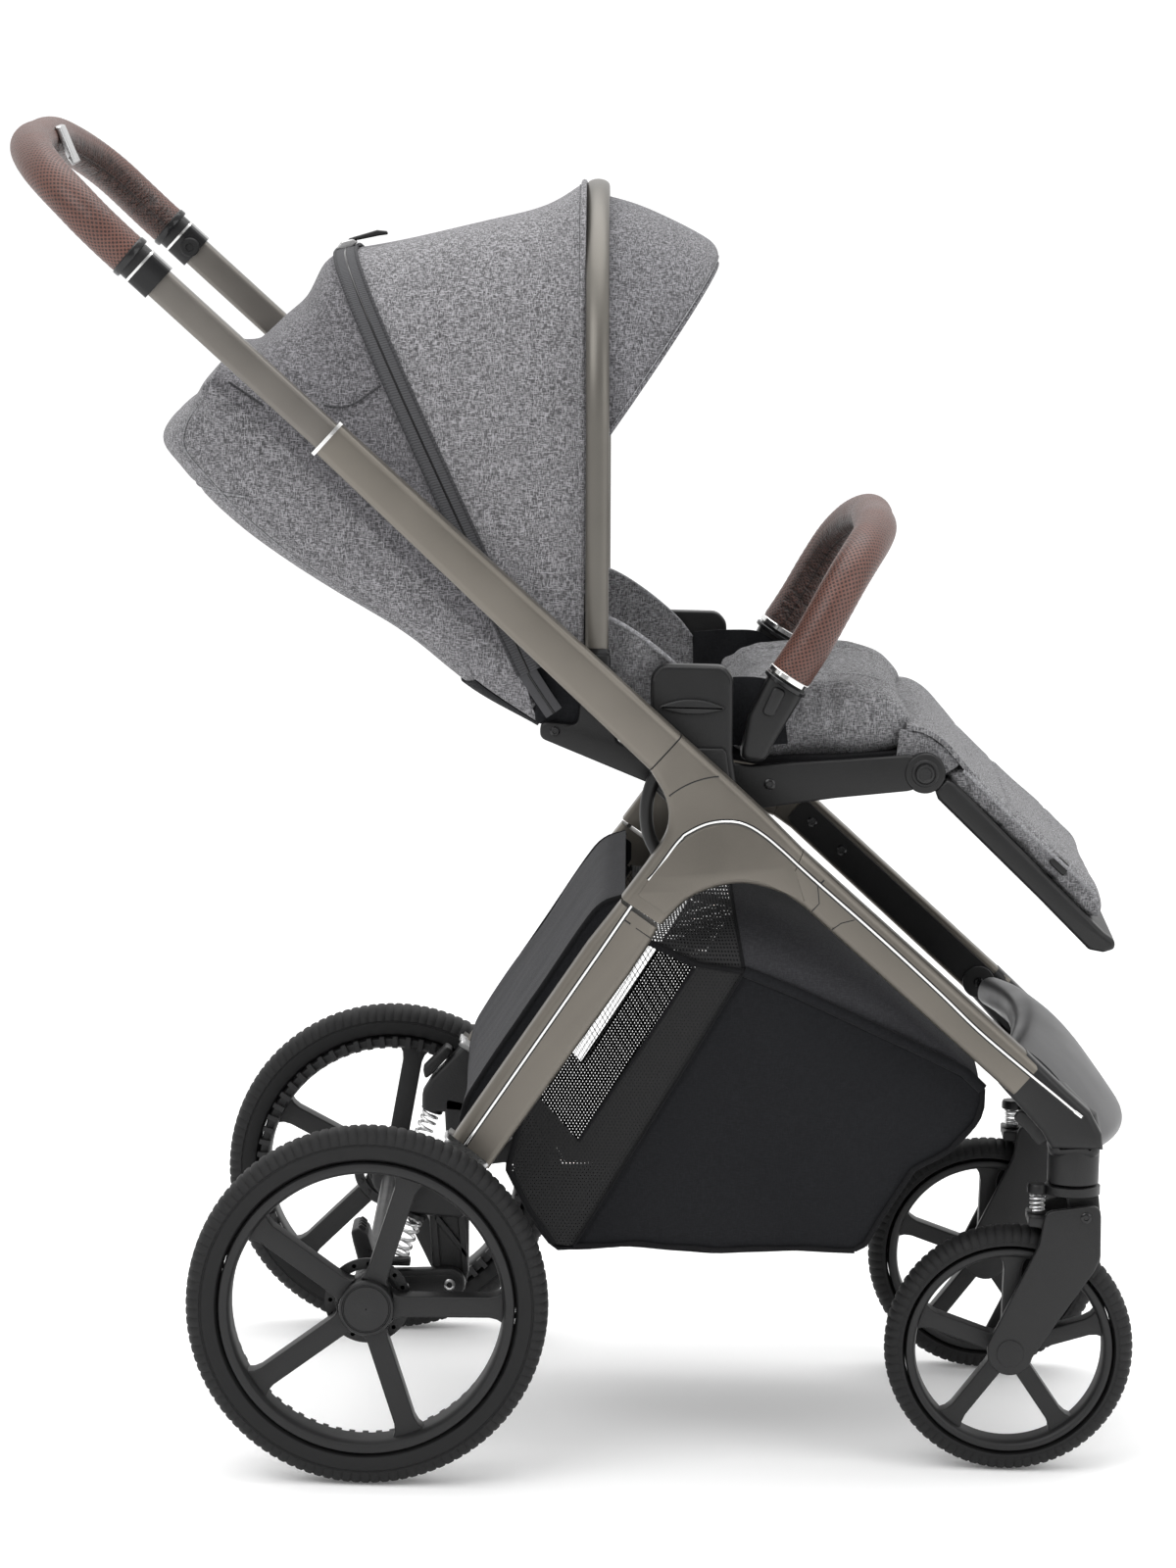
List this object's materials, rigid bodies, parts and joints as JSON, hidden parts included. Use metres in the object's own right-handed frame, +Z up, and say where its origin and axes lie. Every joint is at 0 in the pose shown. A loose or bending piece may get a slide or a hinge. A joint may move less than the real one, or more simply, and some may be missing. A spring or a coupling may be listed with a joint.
{
  "type": "baby stroller",
  "caption": "Full-size pushchair: folding tube chassis, padded reclining seat with canopy and leg rest, bumper bar, shopping basket, sprung axle and swivelling front wheels.",
  "frame": {"origin": "middle of the overall length and width, on the ground under the wheels", "axes": "+X forward, the way the child faces; +Y to the stroller's left; +Z up"},
  "size_m": [0.9355, 0.593, 1.0703],
  "materials": {
    "gunmetal": "dark warm satin anodised",
    "black_plastic": "fine-grained matt black",
    "satin_plastic": "satin anthracite",
    "chrome": "polished",
    "spring_steel": "bright coated spring wire",
    "tyre_rubber": "ribbed foam-filled rubber",
    "brown_leather": "perforated dark brown, stitched seam",
    "grey_fabric": "melange plain weave",
    "dark_fabric": "smooth dark lining cloth"
  },
  "bodies": {
    "chassis": {"hub_right": "gunmetal", "hub_left": "gunmetal", "front_leg_right": "gunmetal", "front_leg_left": "gunmetal", "caster_socket_right": "black_plastic", "caster_socket_left": "black_plastic", "front_bridge": "satin_plastic", "adapter_right": "black_plastic", "adapter_left": "black_plastic", "seat_frame": "black_plastic", "seat_cushion": "grey_fabric", "basket": "dark_fabric"},
    "push_bar": {"handle_sleeve_right": "gunmetal", "handle_sleeve_left": "gunmetal"},
    "handle": {"handle_tube_right": "gunmetal", "handle_tube_left": "gunmetal", "handle_grip": "brown_leather"},
    "handle_release": {"handle_release": "chrome"},
    "rear_frame": {"rear_leg_right": "gunmetal", "rear_leg_left": "gunmetal", "rear_bracket_right": "black_plastic", "rear_bracket_left": "black_plastic", "rear_spring_right": "spring_steel", "rear_spring_left": "spring_steel", "basket_flap": "dark_fabric"},
    "rear_axle": {"rear_axle": "black_plastic"},
    "brake_pedal": {"brake_pedal": "black_plastic"},
    "backrest": {"backrest_arm_right": "black_plastic", "backrest_arm_left": "black_plastic", "back_shell": "grey_fabric", "backrest_cushion": "grey_fabric", "canopy_rear": "grey_fabric"},
    "recline_lever": {"recline_lever": "black_plastic"},
    "canopy": {"canopy_bow": "gunmetal", "canopy_main": "grey_fabric"},
    "visor": {"canopy_visor": "grey_fabric"},
    "zip_puller": {"zip_puller": "chrome"},
    "legrest": {"legrest_frame": "black_plastic", "legrest_cushion": "grey_fabric"},
    "bumper": {"bumper_bar": "brown_leather"},
    "rear_wheel_right": {"rear_tyre_right": "tyre_rubber", "rear_rim_right": "black_plastic"},
    "caster_right": {"caster_head_right": "black_plastic", "caster_spring_right": "spring_steel"},
    "fork_right": {"fork_right": "black_plastic"},
    "front_wheel_right": {"front_tyre_right": "tyre_rubber", "front_rim_right": "black_plastic"},
    "adapter_release_right": {"adapter_release_right": "black_plastic"},
    "legrest_button_right": {"legrest_button_right": "black_plastic"},
    "bumper_button_right": {"bumper_button_right": "black_plastic"},
    "rear_wheel_left": {"rear_tyre_left": "tyre_rubber", "rear_rim_left": "black_plastic"},
    "caster_left": {"caster_head_left": "black_plastic", "caster_spring_left": "spring_steel"},
    "fork_left": {"fork_left": "black_plastic"},
    "front_wheel_left": {"front_tyre_left": "tyre_rubber", "front_rim_left": "black_plastic"},
    "adapter_release_left": {"adapter_release_left": "black_plastic"},
    "legrest_button_left": {"legrest_button_left": "black_plastic"},
    "bumper_button_left": {"bumper_button_left": "black_plastic"}
  },
  "joints": [
    {"name": "chassis_fold", "type": "hinge", "parent": "chassis", "child": "push_bar", "pos_m": [0.08785, 0, 0.60263], "axis": [0, -1, 0], "range_deg": [-172, 0]},
    {"name": "handle_telescope", "type": "slide", "parent": "push_bar", "child": "handle", "axis": [0.7524, 0, -0.6587], "range_m": [0, 0.15]},
    {"name": "handle_release_travel", "type": "slide", "parent": "handle", "child": "handle_release", "axis": [0.6198, 0, -0.7848], "range_m": [0, 0.003], "stiffness_N_per_m": 900, "springref_m": -0.002},
    {"name": "rear_leg_fold", "type": "hinge", "parent": "chassis", "child": "rear_frame", "pos_m": [0.074, 0, 0.448], "axis": [0, 1, 0], "range_deg": [-48, 0], "deforming": ["basket"]},
    {"name": "rear_suspension", "type": "hinge", "parent": "rear_frame", "child": "rear_axle", "pos_m": [-0.0885, 0, 0.152], "axis": [0, 1, 0], "range_deg": [0, 6], "stiffness_Nm_per_rad": 60, "springref_deg": -20.05, "deforming": ["rear_spring_right", "rear_spring_left"]},
    {"name": "brake_pedal_press", "type": "hinge", "parent": "rear_axle", "child": "brake_pedal", "pos_m": [-0.1529, 0, 0.145], "axis": [0, -1, 0], "range_deg": [0, 18]},
    {"name": "seat_recline", "type": "hinge", "parent": "chassis", "child": "backrest", "pos_m": [0.0995, 0, 0.562], "axis": [0, -1, 0], "range_deg": [-12, 28]},
    {"name": "recline_lever_pull", "type": "slide", "parent": "backrest", "child": "recline_lever", "axis": [-0.8744, 0, 0.4852], "range_m": [0, 0.005], "stiffness_N_per_m": 900, "springref_m": -0.003},
    {"name": "canopy_fold", "type": "hinge", "parent": "backrest", "child": "canopy", "pos_m": [0.018, 0, 0.645], "axis": [0, -1, 0], "range_deg": [0, 30], "deforming": ["canopy_main", "canopy_rear", "zip_puller"]},
    {"name": "visor_flip", "type": "hinge", "parent": "canopy", "child": "visor", "pos_m": [0.0235, 0, 0.834], "axis": [0, -1, 0], "range_deg": [0, 25]},
    {"name": "zip_puller_swing", "type": "hinge", "parent": "backrest", "child": "zip_puller", "pos_m": [-0.1975, 0, 0.9712], "axis": [0, -1, 0], "range_deg": [0, 60]},
    {"name": "legrest_tilt", "type": "hinge", "parent": "chassis", "child": "legrest", "pos_m": [0.2845, 0, 0.57], "axis": [0, -1, 0], "range_deg": [-15, 40]},
    {"name": "bumper_lift", "type": "slide", "parent": "chassis", "child": "bumper", "axis": [0.3529, 0, 0.9357], "range_m": [0, 0.05]},
    {"name": "rear_wheel_spin_right", "type": "hinge", "parent": "rear_axle", "child": "rear_wheel_right", "pos_m": [-0.1529, -0.2755, 0.145], "axis": [0, 1, 0], "continuous": true},
    {"name": "caster_swivel_right", "type": "hinge", "parent": "chassis", "child": "caster_right", "pos_m": [0.4145, -0.1782, 0.233], "axis": [0, 0, 1], "continuous": true},
    {"name": "front_suspension_right", "type": "hinge", "parent": "caster_right", "child": "fork_right", "pos_m": [0.4245, -0.1782, 0.215], "axis": [0, 1, 0], "range_deg": [0, 6], "stiffness_Nm_per_rad": 60, "springref_deg": -14.32, "deforming": ["caster_spring_right"]},
    {"name": "front_wheel_spin_right", "type": "hinge", "parent": "fork_right", "child": "front_wheel_right", "pos_m": [0.3668, -0.1782, 0.10135], "axis": [0, 1, 0], "continuous": true},
    {"name": "adapter_release_lift_right", "type": "slide", "parent": "chassis", "child": "adapter_release_right", "axis": [0, 0, 1], "range_m": [0, 0.006], "stiffness_N_per_m": 700, "springref_m": -0.002},
    {"name": "legrest_button_press_right", "type": "slide", "parent": "chassis", "child": "legrest_button_right", "axis": [0, 1, 0], "range_m": [0, 0.003], "stiffness_N_per_m": 700, "springref_m": -0.002},
    {"name": "bumper_button_press_right", "type": "slide", "parent": "bumper", "child": "bumper_button_right", "axis": [0, 1, 0], "range_m": [0, 0.003], "stiffness_N_per_m": 700, "springref_m": -0.002},
    {"name": "rear_wheel_spin_left", "type": "hinge", "parent": "rear_axle", "child": "rear_wheel_left", "pos_m": [-0.1529, 0.2755, 0.145], "axis": [0, 1, 0], "continuous": true},
    {"name": "caster_swivel_left", "type": "hinge", "parent": "chassis", "child": "caster_left", "pos_m": [0.4145, 0.1782, 0.233], "axis": [0, 0, 1], "continuous": true},
    {"name": "front_suspension_left", "type": "hinge", "parent": "caster_left", "child": "fork_left", "pos_m": [0.4245, 0.1782, 0.215], "axis": [0, 1, 0], "range_deg": [0, 6], "stiffness_Nm_per_rad": 60, "springref_deg": -14.32, "deforming": ["caster_spring_left"]},
    {"name": "front_wheel_spin_left", "type": "hinge", "parent": "fork_left", "child": "front_wheel_left", "pos_m": [0.3668, 0.1782, 0.10135], "axis": [0, 1, 0], "continuous": true},
    {"name": "adapter_release_lift_left", "type": "slide", "parent": "chassis", "child": "adapter_release_left", "axis": [0, 0, 1], "range_m": [0, 0.006], "stiffness_N_per_m": 700, "springref_m": -0.002},
    {"name": "legrest_button_press_left", "type": "slide", "parent": "chassis", "child": "legrest_button_left", "axis": [0, -1, 0], "range_m": [0, 0.003], "stiffness_N_per_m": 700, "springref_m": -0.002},
    {"name": "bumper_button_press_left", "type": "slide", "parent": "bumper", "child": "bumper_button_left", "axis": [0, -1, 0], "range_m": [0, 0.003], "stiffness_N_per_m": 700, "springref_m": -0.002}
  ],
  "couplings": [
    {"joint": "rear_leg_fold", "follows": "chassis_fold", "ratio": 0.27907}
  ]
}
